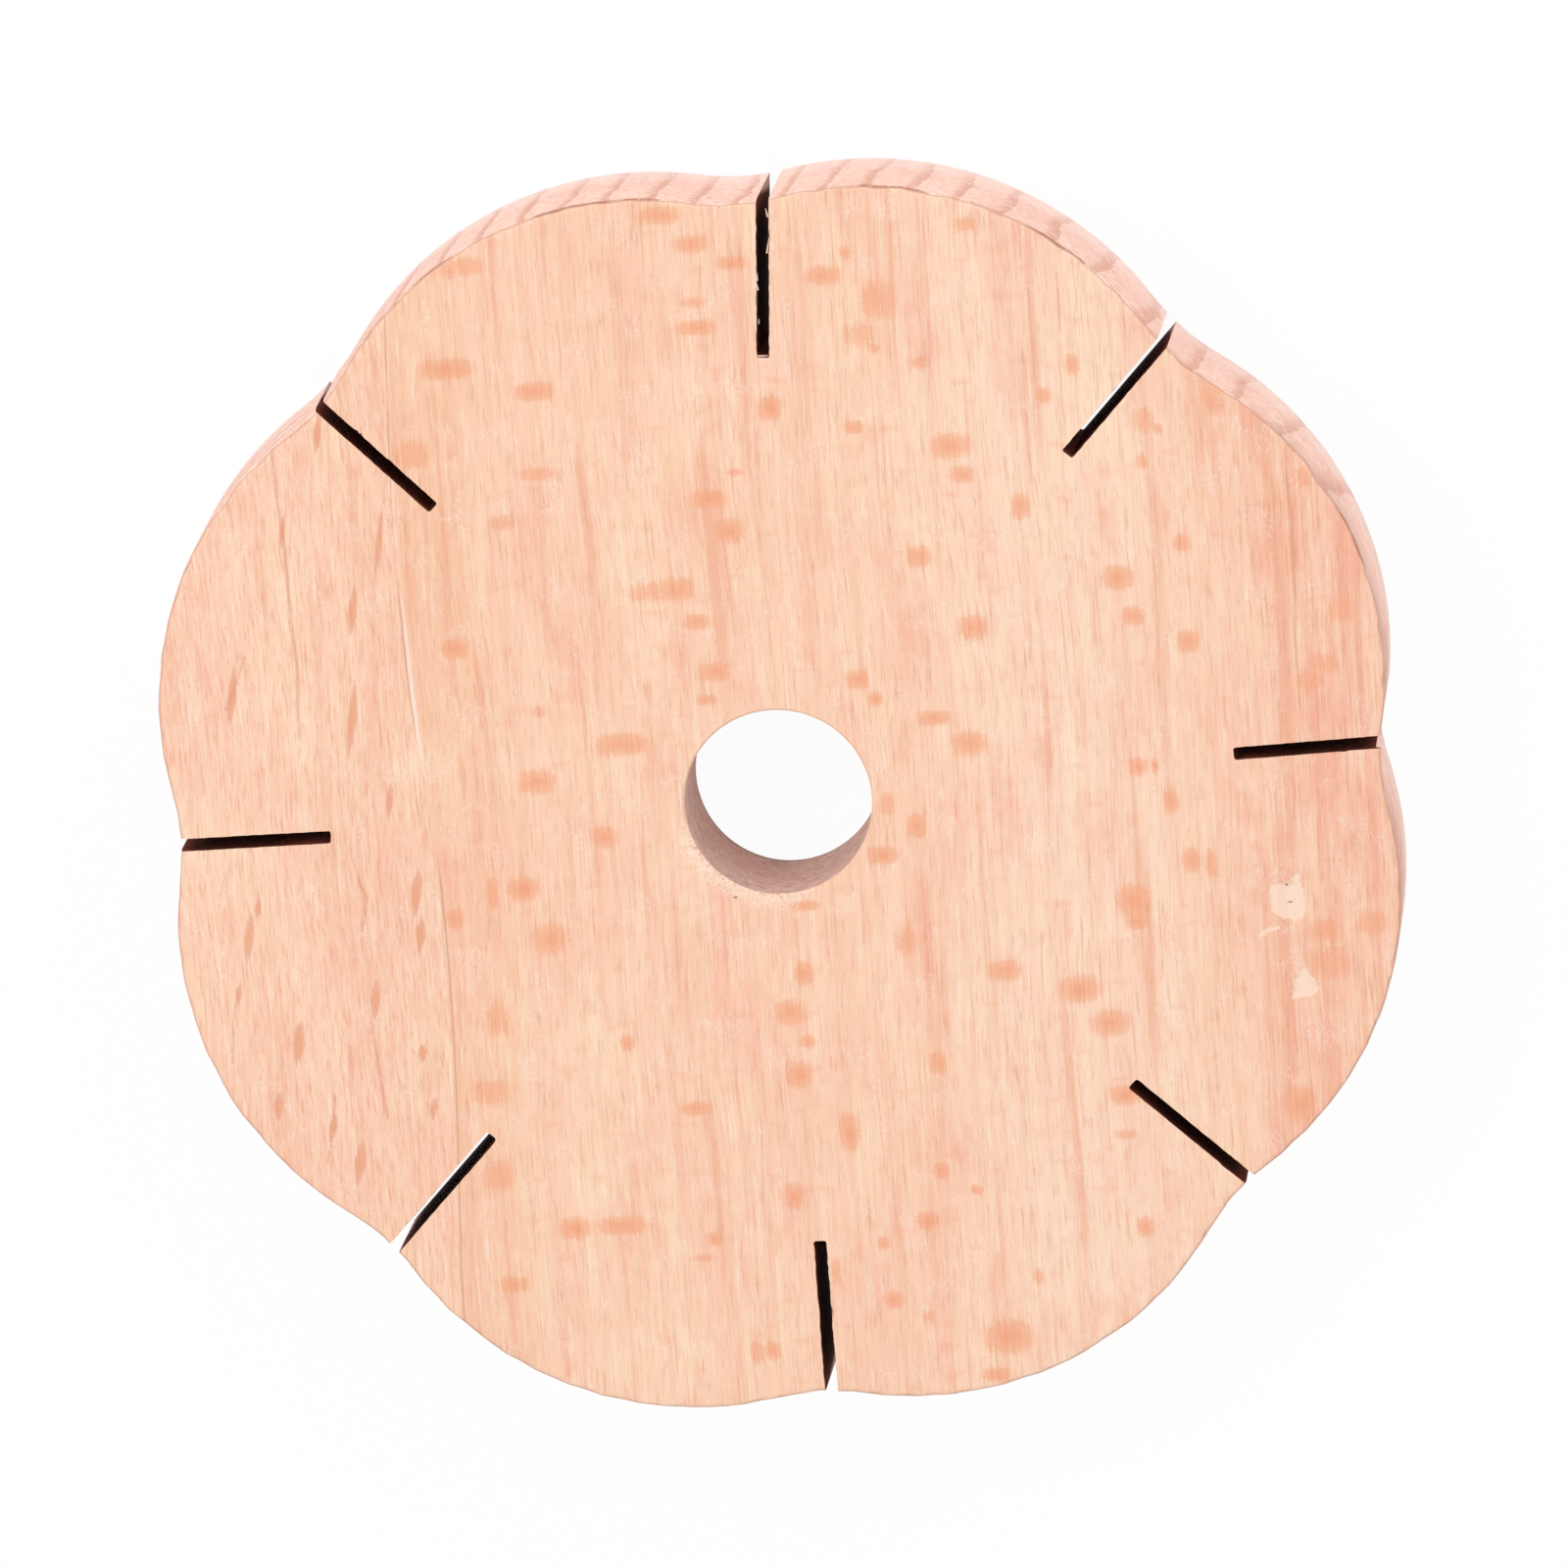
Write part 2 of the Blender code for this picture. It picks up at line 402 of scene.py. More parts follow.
# %% [markdown]
# The drill broke out some wood on the left and near sides of the bore, where the edge
# crosses the ends of the fibres, and it left that lip rough. Two flakes also came off the
# right side. Both are real hollows, if shallow ones, so that they shade as such.

# %% Torn lip of the bore, and two lost flakes
TORN_FROM, TORN_TO = math.radians(182.0), math.radians(292.0)
TORN_FADE = math.radians(18.0)  # the tear eases in over this turn at both ends
TORN_WIDTH = 1.9
TORN_DEPTH = 0.18
TORN_SHARE = 0.35  # more than 0, so that more of the lip is torn than whole
TORN_GRAIN = 0.45  # length of one break
LIP_RAG = 0.1  # most that the lip itself crumbles back
LIP_GRAIN = 0.4
FLAKE_DEPTH = 0.1
FLAKE_SLOPE = 0.15  # the side of the hollow runs in over this width
FLAKE_RAG = 0.25  # most that its outline strays
FLAKE_GRAIN = 0.5
FLAKES = (  # corners, anticlockwise: the first flake, its tongue, the second
    ((40.3, -8.6), (37.9, -8.7), (37.7, -9.8), (37.9, -11.0), (38.7, -11.6), (39.9, -11.8),
     (40.5, -11.4), (40.7, -10.5), (40.5, -9.4)),
    ((40.3, -8.2), (40.0, -7.8), (39.6, -8.4), (39.7, -9.1), (40.3, -9.1)),
    ((40.1, -15.2), (39.2, -16.8), (38.9, -18.1), (40.9, -17.8), (41.3, -17.2)),
)


def torn_at(x, y):
    """How torn the wood is there: 1 at the lip of the bore, 0 where it is whole."""
    turn = math.atan2(y, x) % (2 * math.pi)
    along = min(turn - TORN_FROM, TORN_TO - turn) / TORN_FADE
    outwards = 1.0 - (math.hypot(x, y) - BORE_RADIUS) / TORN_WIDTH
    return max(0.0, min(1.0, along)) * max(0.0, min(1.0, outwards))


def flake_at(x, y, corners):
    """Distance in from the nearest side of the flake, in mm; negative outside it."""
    sides = zip(corners, corners[1:] + corners[:1])
    return min(
        ((x2 - x1) * (y - y1) - (y2 - y1) * (x - x1)) / math.hypot(x2 - x1, y2 - y1)
        for (x1, y1), (x2, y2) in sides
    )


lowered = 0
for point in bm.verts:
    x, y, z = point.co / MM
    if z < FACE_HEIGHT:
        continue
    torn = torn_at(x, y)
    if torn > 0.0:
        rough = noise.noise(Vector((x, y, 0.0)) / TORN_GRAIN) + TORN_SHARE
        point.co.z -= TORN_DEPTH * torn * max(0.0, rough) * MM
        if math.hypot(x, y) < BORE_RADIUS + 0.2:
            crumble = LIP_RAG * torn * abs(noise.noise(Vector((x, y, 5.0)) / LIP_GRAIN))
            point.co.xy += point.co.xy.normalized() * crumble * MM
    wobble = FLAKE_RAG * noise.noise(Vector((x, y, 9.0)) / FLAKE_GRAIN)
    inside = max(flake_at(x, y, corners) for corners in FLAKES) + wobble
    if inside > 0.0:
        point.co.z -= FLAKE_DEPTH * min(1.0, inside / FLAKE_SLOPE) * MM
    lowered += torn > 0.0 or inside > 0.0
print("points lowered:", lowered)

# %% [markdown]
# The rim was sanded freehand, which wore its upper edge unevenly. If only the edge moved
# in, it would run over the small squares of the face beside it and fold them. So every
# point within about a millimetre follows its nearest point on the edge, by less the
# farther away it lies. A level cut keeps the wear to the upper part of the rim.

# %% Uneven upper edge of the rim
ARRIS_WEAR = 0.2  # most that the edge is set in
ARRIS_WAVE = 1.5  # length of one dip
WEAR_SHARE = 0.3  # more than 0, so that more of the edge is worn than not
WEAR_REACH = 1.2  # how far from the edge the wood still follows
TURNS_DOWN = 0.99  # a face that points up less than this turns down to the rim

cut_level(RIM, WEAR_REACH)
arris = [
    point.co.copy() for point in bm.verts
    if point.co.z > FACE_HEIGHT * MM and point.co.xy.length > KERF_MOUTH * MM
    and any(face.normal.z < TURNS_DOWN for face in point.link_faces)
]
nearest = KDTree(len(arris))
for index, place in enumerate(arris):
    nearest.insert(place, index)
nearest.balance()
worn = 0
for point in bm.verts:
    if point.co.xy.length < (KERF_MOUTH - WEAR_REACH) * MM:
        continue
    edge_place, index, away = nearest.find(point.co)
    share = 1.0 - away / MM / WEAR_REACH
    if share > 0.0:
        dip = max(0.0, noise.noise(edge_place / MM / ARRIS_WAVE) + WEAR_SHARE)
        point.co.xy -= edge_place.xy.normalized() * ARRIS_WEAR * dip * share * MM
        worn += 1
print("points worn on the rim's edge:", worn)

# %% [markdown]
# Below its upper edge, the corner that the right kerf left on its near side was rubbed
# down more than the others.

# %% Worn corner beside the right kerf
CORNER = Vector((47.3, 1.2))
CORNER_REACH = 3.5
CORNER_WEAR = 0.45
EDGE_EASE = 0.25  # the rounding of the outline ends this far below the face
CORNER_TOP = THICKNESS - EDGE_EASE - 0.05
rubbed = 0
for point in bm.verts:
    away = (point.co.xy / MM - CORNER).length
    if point.co.z < CORNER_TOP * MM and away < CORNER_REACH:
        point.co.x -= CORNER_WEAR * (1.0 - away / CORNER_REACH) * MM
        rubbed += 1
print("points rubbed down at the corner:", rubbed)

# %% [markdown]
# A few splinters still hang on at the far kerf and catch the light, because their wood is
# fresh. Each is a thin wedge that lies along an edge and reaches over the kerf.

# %% Loose splinters
SPLINTERS = (  # middle x, y, length, width, thickness, heading in degrees
    (1.49, 35.46, 0.8, 0.16, 0.1, 0.0), (2.52, 44.15, 1.3, 0.16, 0.12, 78.0),
    (2.6, 46.7, 0.7, 0.16, 0.1, 100.0), (1.5, 41.7, 0.6, 0.12, 0.1, 88.0),
    (1.46, 40.9, 0.5, 0.14, 0.1, 94.0), (1.36, 38.2, 0.4, 0.1, 0.1, 86.0),
)
SPLINTER_TIP = 0.35  # share of the width that is left at the thin end

for x, y, length, width, thickness, degrees in SPLINTERS:
    made = bmesh.ops.create_cone(
        bm, segments=6, radius1=0.5, radius2=0.5, depth=1.0, cap_ends=True,
        matrix=Matrix.Rotation(math.pi / 2, 4, "Y"),
    )["verts"]
    for point in made:
        if point.co.x > 0.0:
            point.co.y *= SPLINTER_TIP
    bmesh.ops.scale(bm, vec=(length * MM, width * MM, thickness * MM), verts=made)
    bmesh.ops.rotate(bm, matrix=Matrix.Rotation(math.radians(degrees), 3, "Z"), verts=made)
    lift = THICKNESS - thickness / 2
    bmesh.ops.translate(bm, vec=(x * MM, y * MM, lift * MM), verts=made)
    for face in {face for point in made for face in point.link_faces}:
        face.material_index = SANDED
print("loose splinters:", len(SPLINTERS))

# %% [markdown]
# Shading is smoothed over the small bends of the rim and the torn wood, but not over real
# edges. The underside is one wide face, so it also ends at a sharp edge. Otherwise the
# rounding beside it would shade far into it.

# %% Make the new disk
SHARP = math.radians(35.0)
FACES_DOWN = -0.999  # only the underside points down this far

bmesh.ops.triangulate(bm, faces=[face for face in bm.faces if len(face.verts) > 4])
bmesh.ops.recalc_face_normals(bm, faces=bm.faces)
for edge in bm.edges:
    normals = [face.normal.z for face in edge.link_faces]
    ends_base = min(normals) < FACES_DOWN < max(normals)
    edge.smooth = edge.calc_face_angle(0.0) < SHARP and not ends_base
disk_mesh = bpy.data.meshes.new("beech_disk")
bm.to_mesh(disk_mesh)
bm.free()
disk = bpy.data.objects.new("beech_disk", disk_mesh)
bpy.context.scene.collection.objects.link(disk)
disk_mesh.shade_smooth()
disk_mesh.calc_loop_triangles()
print("triangles:", len(disk_mesh.loop_triangles))

# %% [markdown]
# Rays are ribbons of soft tissue that run from the heart of a tree to its bark. This
# board was sawn along them, so they show on the worked face as salmon flecks. Noise alone
# would scatter them evenly, and the real ones are what makes this disk itself, so the
# plainer ones are put where they lie: x, y, width and height, in millimetres.

# %% Ray flecks of the wide stave
FLECKS = (
    # between the far kerf and the left one
    (-5.7, 47.0, 3.2, 1.4), (-3.5, 44.6, 2.4, 1.4), (-0.4, 42.9, 2.4, 1.0),
    (-3.5, 38.0, 2.9, 1.2), (-23.3, 35.9, 4.2, 1.5), (-16.6, 33.7, 3.2, 1.4),
    (1.7, 31.3, 1.9, 1.8), (-1.4, 26.4, 1.3, 0.7), (-3.6, 24.4, 2.8, 1.4),
    (-2.2, 21.8, 2.2, 1.9), (-6.6, 17.4, 2.6, 1.8), (-5.2, 14.7, 2.3, 1.2),
    (-4.2, 10.7, 2.4, 1.5), (-5.0, 8.5, 1.6, 0.8), (-24.3, 13.7, 2.2, 1.6),
    (-11.9, 5.3, 4.0, 1.7),
    # between the far kerf and the right one
    (6.7, 41.5, 2.7, 1.5), (13.6, 34.2, 1.3, 1.0), (23.0, 31.0, 1.2, 1.2),
    (25.4, 33.3, 1.1, 1.6), (8.1, 29.4, 1.4, 1.0), (15.5, 27.5, 2.9, 1.9),
    (16.3, 25.2, 1.8, 1.3), (20.6, 22.4, 1.3, 2.0), (12.5, 18.9, 1.8, 1.7),
    (30.3, 25.4, 0.8, 1.3), (31.7, 27.9, 0.7, 0.9), (32.9, 18.7, 1.3, 1.4),
    (27.8, 16.3, 2.5, 1.9), (28.7, 13.2, 1.7, 1.5), (16.2, 13.0, 2.3, 1.9),
    (32.9, 10.9, 1.8, 1.7), (6.9, 9.4, 1.8, 1.5), (8.2, 7.8, 1.1, 1.1),
    (12.7, 6.0, 2.5, 1.2), (15.4, 3.8, 2.5, 1.9), (28.3, 1.2, 1.4, 1.5),
    (29.6, 1.2, 0.6, 1.2),
    # between the left kerf and the near one
    (-18.7, 2.7, 2.6, 1.9), (-13.8, -2.0, 1.9, 1.7), (-20.5, -5.8, 2.6, 1.7),
    (-22.9, -5.9, 0.8, 2.5), (-26.0, -7.9, 1.3, 1.6), (-18.6, -9.9, 2.8, 2.4),
    (-13.3, -18.6, 1.2, 1.2), (-8.2, -24.2, 2.6, 1.1), (-18.6, -33.3, 2.6, 1.7),
    (-14.8, -33.3, 4.0, 1.4), (-7.6, -34.8, 1.1, 1.2), (-23.7, -37.6, 2.4, 1.3),
    (-5.0, -44.1, 0.8, 2.0), (-3.7, -44.1, 1.3, 1.4),
    # between the right kerf and the near one
    (10.7, -2.5, 1.5, 1.9), (7.8, -4.7, 2.4, 1.3), (1.5, -8.4, 2.3, 0.8),
    (1.0, -13.8, 1.5, 1.8), (-0.3, -16.9, 2.2, 2.0), (0.9, -19.3, 1.3, 1.1),
    (0.1, -21.9, 2.0, 2.1), (11.0, -21.6, 1.3, 1.7), (3.6, -26.8, 1.5, 3.1),
    (10.6, -30.3, 1.3, 1.3), (-1.1, -31.7, 1.6, 2.1), (13.3, -32.0, 1.0, 0.8),
    (9.3, -34.3, 1.8, 1.4), (5.7, -35.9, 1.1, 1.1), (6.1, -40.5, 1.7, 1.4),
    (15.0, -44.0, 3.8, 2.6), (1.8, -38.0, 0.7, 2.2), (16.7, -14.5, 2.6, 1.6),
    (22.5, -16.3, 3.3, 2.1), (24.7, -19.2, 2.9, 2.1), (27.2, -9.5, 2.6, 2.4),
    (27.4, -11.2, 1.7, 1.2), (31.9, -6.5, 1.2, 1.9), (33.4, -6.9, 1.0, 2.2),
    (30.7, -1.7, 1.1, 1.9), (25.5, -25.0, 2.6, 1.5), (26.3, -35.7, 1.4, 1.6),
    (39.2, -26.5, 2.2, 2.8), (13.8, -47.0, 2.2, 1.1),
)
FAINT_FLECKS = (
    (-3.7, 40.0, 2.2, 0.8), (-21.6, 43.9, 3.5, 1.4), (-26.4, 29.3, 2.6, 2.0),
    (-16.7, 27.2, 3.0, 1.0), (-19.7, 23.5, 2.0, 1.2), (-18.2, 8.3, 1.2, 1.0),
    (-9.0, 17.3, 2.6, 1.5), (10.7, 39.4, 2.5, 2.8), (9.0, 36.7, 2.0, 1.8),
    (8.4, 43.2, 1.0, 1.0), (17.9, 44.9, 1.6, 1.1), (10.2, 35.5, 1.0, 0.8),
    (30.5, 28.6, 1.6, 2.0), (43.3, 8.5, 2.4, 1.6), (42.2, 7.3, 2.2, 1.6),
    (35.9, 30.3, 1.5, 3.0), (42.6, 23.4, 1.3, 1.6), (45.0, 12.8, 2.0, 2.0),
    (-24.2, -22.0, 2.8, 1.9), (-24.2, -28.7, 2.6, 2.2), (-8.7, -36.3, 2.0, 0.6),
    (-23.3, -16.1, 1.6, 2.6), (8.5, -0.6, 1.3, 1.6), (9.2, -11.7, 1.8, 2.0),
    (8.8, -42.0, 1.0, 1.0), (25.3, -28.2, 1.8, 0.8), (17.7, -39.3, 1.0, 1.3),
    (42.1, -15.3, 2.8, 2.4), (42.0, -12.7, 2.2, 1.6), (45.7, -12.3, 2.0, 2.0),
)

# %% [markdown]
# The narrow stave was glued on turned a quarter round, so its rays are cut across: there
# they are thin upright spindles that lean a little to the right. A few veins run through
# it as well, which are brown threads along the grain.

# %% Ray spindles and veins of the narrow stave
SPINDLES = (
    (-29.6, 22.5, 0.5, 6.5), (-32.1, 17.1, 0.7, 4.2), (-32.8, 8.7, 0.7, 6.7),
    (-42.1, 10.9, 0.7, 5.2), (-37.1, 23.7, 0.5, 3.5), (-33.7, 31.5, 0.6, 4.0),
    (-30.4, 1.9, 0.6, 3.0), (-42.3, -8.4, 0.8, 4.2), (-41.4, -6.1, 0.5, 1.6),
    (-28.9, -5.6, 0.8, 4.0), (-28.8, -9.0, 0.7, 3.2), (-32.8, -14.0, 0.8, 3.7),
    (-43.5, -13.0, 0.4, 2.0), (-39.1, -17.1, 0.9, 3.9), (-29.4, -18.5, 0.7, 1.6),
    (-41.1, -22.1, 0.8, 2.5), (-36.9, -24.0, 0.6, 2.6), (-35.1, -27.1, 0.9, 3.7),
    (-28.9, -23.0, 0.6, 2.2),
)
SPINDLE_LEAN = math.radians(10.0)
VEINS = (  # each is a row of points; the last one is in the wide stave
    ((-37.4, 33.0), (-37.3, 27.1), (-37.0, 21.9), (-37.0, 18.3), (-36.8, 13.2), (-37.1, 7.3)),
    ((-40.9, 14.0), (-41.6, 12.0), (-42.7, 9.8)),
    ((-33.8, -1.4), (-33.4, -4.2), (-32.8, -5.9), (-33.4, -8.5)),
    ((-43.5, -12.4), (-44.1, -15.0), (-44.4, -18.4)),
    ((-33.1, -16.0), (-33.0, -19.5), (-32.6, -23.5)),
    ((-36.6, -21.5), (-37.0, -24.2), (-37.6, -27.0)),
    ((41.3, 24.0), (41.6, 20.5), (41.4, 14.6), (41.1, 8.4)),
)
VEIN_WIDTH = 0.5
print("flecks:", len(FLECKS), "and", len(FAINT_FLECKS), "faint; spindles:", len(SPINDLES))

# %% [markdown]
# The marks are measured with arrays, because there are tens of thousands of points. Each
# kind is stored on the mesh as one number per point: 1 in the middle of a mark, 0 at its
# edge and less than 0 outside, so that a material can choose how soft its edge is.

# %% Paint the marks on the points of the mesh
PAINT_DEPTH = 0.5  # hollows this deep still get the marks
SQUARENESS = 2.6  # 2 is an oval, more is squarer
LENS_SHAPE = 1.4  # and less has pointed ends

count = len(disk_mesh.vertices)
places = np.empty(count * 3)
disk_mesh.vertices.foreach_get("co", places)
places = places.reshape(-1, 3) / MM
on_face = places[:, 2] > THICKNESS - PAINT_DEPTH


def ovals(marks, lean=0.0, strength=1.0, squareness=SQUARENESS):
    """How deep each point lies in the nearest of these marks."""
    depth = np.full(count, -1.0)
    for x, y, width, height in marks:
        from_x, from_y = places[:, 0] - x, places[:, 1] - y
        across = np.abs(from_x * math.cos(lean) - from_y * math.sin(lean)) / (width / 2)
        along = np.abs(from_x * math.sin(lean) + from_y * math.cos(lean)) / (height / 2)
        inside = 1.0 - (across ** squareness + along ** squareness) ** (1.0 / squareness)
        depth = np.maximum(depth, np.where(inside > 0, inside * strength, inside))
    return np.where(on_face, depth, -1.0)


def lines(rows, width, reach):
    """How deep each point lies in the nearest of these lines, on all points in reach."""
    depth = np.full(count, -1.0)
    for row in rows:
        for (x1, y1), (x2, y2) in zip(row, row[1:]):
            length = math.hypot(x2 - x1, y2 - y1)
            from_x, from_y = places[:, 0] - x1, places[:, 1] - y1
            along = (from_x * (x2 - x1) + from_y * (y2 - y1)) / length
            past = along - np.clip(along, 0.0, length)
            aside = (from_y * (x2 - x1) - from_x * (y2 - y1)) / length
            depth = np.maximum(depth, 1.0 - np.hypot(past, aside) / (width / 2))
    return np.where(reach, depth, -1.0)


def paint(name, depth):
    layer = disk_mesh.attributes.new(name, "FLOAT", "POINT")
    layer.data.foreach_set("value", depth.astype(np.float32))
    print(name, "covers points:", int((depth > 0).sum()))


everywhere = np.full(count, True)
paint("fleck", np.maximum(ovals(FLECKS), ovals(FAINT_FLECKS, strength=0.4)))
paint("spindle", ovals(SPINDLES, lean=SPINDLE_LEAN, squareness=LENS_SHAPE))
paint("vein", lines(VEINS, VEIN_WIDTH, on_face))

# %% [markdown]
# Some stretches of the upper edge of the rim are darker. Torn wood and lost flakes are paler than the
# sanded face, since no hand has touched them.

# %% Paint the dark edge lines, the torn wood and the flakes
DARK_EDGE_LINES = (
    ((-14.9, 47.5), (-12.0, 48.2), (-9.2, 48.6)), ((-8.7, 48.5), (-6.1, 48.5)),
    ((10.6, 48.4), (14.6, 48.0)), ((23.0, 44.2), (27.0, 41.4)),
    ((-29.9, 39.7), (-26.4, 42.5), (-22.8, 44.4)), ((45.4, 20.1), (46.7, 16.7)),
)
DARK_EDGE_WIDTH = 2.4  # wide enough to reach the edge; the line itself is thinner
paint("dark_edge", lines(DARK_EDGE_LINES, DARK_EDGE_WIDTH, everywhere))

NICK_MARK = (0.5, 0.9)  # width and height of a nick's pale mark, as shares of its length
SPLINTER_MARK = 1.0  # a splinter's pale mark is at least this wide
FRESHNESS = 1.6  # more makes those marks fuller toward their edges
TEAR_DEPTH = 0.6  # the paint of the torn lip reaches this far down the bore
fresh = [(x, y, NICK_MARK[0] * length, NICK_MARK[1] * length) for x, y, length, depth in NICKS]
for x, y, length, *rest in SPLINTERS:
    size = max(length, SPLINTER_MARK)
    fresh.append((x, y, size, size))
splinters = ovals(fresh)
lip = np.array([torn_at(x, y) if z > THICKNESS - TEAR_DEPTH else 0.0 for x, y, z in places])
paint("torn", np.maximum(np.clip(splinters * FRESHNESS, 0.0, 1.0), lip))

FLAKES_FROM = (35.0, -5.0)  # all flakes lie to the right of this and nearer
STREAK = ((36.9, -12.8), (37.6, -12.4), (38.3, -12.3))  # a scratch beside the first flake
STREAK_WIDTH = 0.4
STREAK_DEPTH = 0.2
flakes = [
    max(flake_at(x, y, corners) for corners in FLAKES)
    if x > FLAKES_FROM[0] and y < FLAKES_FROM[1] else -1.0
    for x, y, z in places
]
flakes = np.maximum(flakes, STREAK_DEPTH * lines((STREAK,), STREAK_WIDTH, on_face))
paint("flake", np.where(on_face, np.clip(flakes, -1.0, 1.0), -1.0))
SPECKS = (  # dark dots: two at the first flake, three on the torn lip
    (39.2, -8.9, 0.36, 0.34), (39.4, -10.3, 0.7, 0.2),
    (-3.9, -7.4, 0.5, 0.32), (-4.7, -6.6, 0.3, 0.2), (-2.8, -7.3, 0.34, 0.2),
)
paint("speck", ovals(SPECKS, squareness=2.0))

# %% [markdown]
# Wood is the same through and through, so its figure is made as one solid block of
# texture in the disk's own coordinates, in millimetres, and every cut shows its own slice
# of it. Growth rings are sheets 3.4 mm apart across the board, fibres and vessels are
# threads along the grain (Y), and rays are ribbons across the rings. On a face a vessel
# is a hairline, and on the rim it is a dot, with no extra work. The narrow stave is the
# same block turned on its side, as it was when the board was glued up.

# %% The grain of the board, as a node group
RING_SPACING = 3.4
RING_LEAN = 0.085  # the rings shift this far across for each mm of depth
RING_PLACE = -1.7  # one ring ends here, where the board's underside lies
RING_WOBBLE = 1.6  # the rings wander by this much
WOBBLE_SCALE = 0.16  # waves per mm
DRIFT = 1.8  # and the whole grain by this much across the board
DRIFT_SCALE = 0.03
NOISES = (  # name, size of a spot along each axis, detail, roughness
    ("Streaks", (1.3, 40.0, 1.3), 2.0, 0.5),
    ("Fibres", (0.23, 8.0, 0.23), 3.0, 0.75),
    ("Vessels", (0.1, 2.2, 0.1), 1.0, 0.5),  # real ones are half as wide: too fine to show
    ("Rays", (1.9, 1.1, 0.5), 0.0, 0.5),
    ("Small rays", (0.8, 1.8, 0.17), 2.0, 0.6),
    ("Clouds", (6.0, 18.0, 6.0), 2.0, 0.5),
    ("Blush", (3.2, 8.0, 3.2), 3.0, 0.65),
)
FUZZ_SIZE = (0.18, 0.4, 0.18)
FUZZ_PATCH_SIZE = (2.4, 3.2, 2.4)
STAVE_TURN = (0.0, math.radians(78.0), 0.0)

grain = bpy.data.node_groups.new("beech grain", "ShaderNodeTree")
masks = ["Across", "Reach", "Height", "Rings", "Fuzz", "Narrow stave", "Past joint"]
for output in masks + [name for name, *rest in NOISES]:
    grain.interface.new_socket(output, in_out="OUTPUT", socket_type="NodeSocketFloat")
grain.interface.new_socket("Millimetres", in_out="OUTPUT", socket_type="NodeSocketVector")

place = add(grain, "ShaderNodeTexCoord").outputs["Object"]
in_mm = add(grain, "ShaderNodeVectorMath", {0: place, "Scale": 1.0 / MM}, operation="SCALE").outputs[0]
axes = add(grain, "ShaderNodeSeparateXYZ", {0: in_mm})
level = add(grain, "ShaderNodeVectorMath", {0: in_mm, 1: (1.0, 1.0, 0.0)},
            operation="MULTIPLY").outputs[0]
reach = add(grain, "ShaderNodeVectorMath", {0: level}, operation="LENGTH").outputs["Value"]

# %% [markdown]
# The glue line bows a little, so its place across the board is a slow wave along it.
# Whatever lies left of it belongs to the narrow stave.

# %% The glued joint between the staves
JOINT_WANDER = 0.55
JOINT_WAVE = 66.0
JOINT_CREST = -12.0
phase = add(grain, "ShaderNodeMath", {
    0: axes.outputs["Y"], 1: 2 * math.pi / JOINT_WAVE, 2: -JOINT_CREST * 2 * math.pi / JOINT_WAVE,
}, operation="MULTIPLY_ADD").outputs[0]
wave = add(grain, "ShaderNodeMath", {0: phase}, operation="COSINE").outputs[0]
joint_x = add(grain, "ShaderNodeMath", {0: wave, 1: JOINT_WANDER, 2: STAVE_JOINT},
              operation="MULTIPLY_ADD").outputs[0]
past_joint = add(grain, "ShaderNodeMath", {0: axes.outputs["X"], 1: joint_x},
                 operation="SUBTRACT").outputs[0]
narrow = add(grain, "ShaderNodeMath", {0: past_joint, 1: 0.0}, operation="LESS_THAN").outputs[0]

# %% [markdown]
# One noise serves for all the threads and ribbons. Divided by a size along each axis, its
# round spots stretch into streaks, fibres, vessels, rays or clouds.

# %% Streaks, fibres, vessels, rays and clouds
turned = add(grain, "ShaderNodeMapping", {"Vector": in_mm, "Rotation": STAVE_TURN}).outputs[0]
block = add(grain, "ShaderNodeMix", {0: narrow, 4: in_mm, 5: turned}, data_type="VECTOR").outputs[1]
drift = add(grain, "ShaderNodeTexNoise", {"Vector": block, "Scale": DRIFT_SCALE, "Detail": 1.0})
pushed = add(grain, "ShaderNodeVectorMath", {
    0: drift.outputs["Color"], 1: (DRIFT, 0.0, DRIFT), 2: (-DRIFT / 2, 0.0, -DRIFT / 2),
}, operation="MULTIPLY_ADD").outputs[0]
wandering = add(grain, "ShaderNodeVectorMath", {0: pushed, 1: block}).outputs[0]


def stretched_noise(tree, place, size, detail, roughness=0.5):
    """Noise whose spots have that size along each axis, from 0 to 1."""
    fitted = add(tree, "ShaderNodeVectorMath", {0: place, 1: size}, operation="DIVIDE")
    return add(tree, "ShaderNodeTexNoise", {
        "Vector": fitted.outputs[0], "Scale": 1.0, "Detail": detail, "Roughness": roughness,
    }).outputs["Fac"]


noises = {
    name: stretched_noise(grain, wandering, size, detail, roughness)
    for name, size, detail, roughness in NOISES
}


# %% [markdown]
# Fuzz is fibre that the sandpaper raised and did not cut. It is drawn as the thin lines
# where a noise passes its middle value, and it only shows in patches.

# %% Raised fuzz
worms = stretched_noise(grain, wandering, FUZZ_SIZE, 1.0)
thin = add(grain, "ShaderNodeMapRange", {
    "Value": distance(grain, worms, 0.5), "From Min": 0.07, "From Max": 0.0,
}, interpolation_type="SMOOTHSTEP").outputs[0]
patches = stretched_noise(grain, wandering, FUZZ_PATCH_SIZE, 1.0)
patchy = add(grain, "ShaderNodeMapRange", {
    "Value": patches, "From Min": 0.5, "From Max": 0.7, "To Min": 0.3,
}, interpolation_type="SMOOTHSTEP").outputs[0]
fuzz = add(grain, "ShaderNodeMath", {0: thin, 1: patchy}, operation="MULTIPLY").outputs[0]

# %% [markdown]
# Each ring darkens slowly towards its late wood and ends sharply at the next spring.

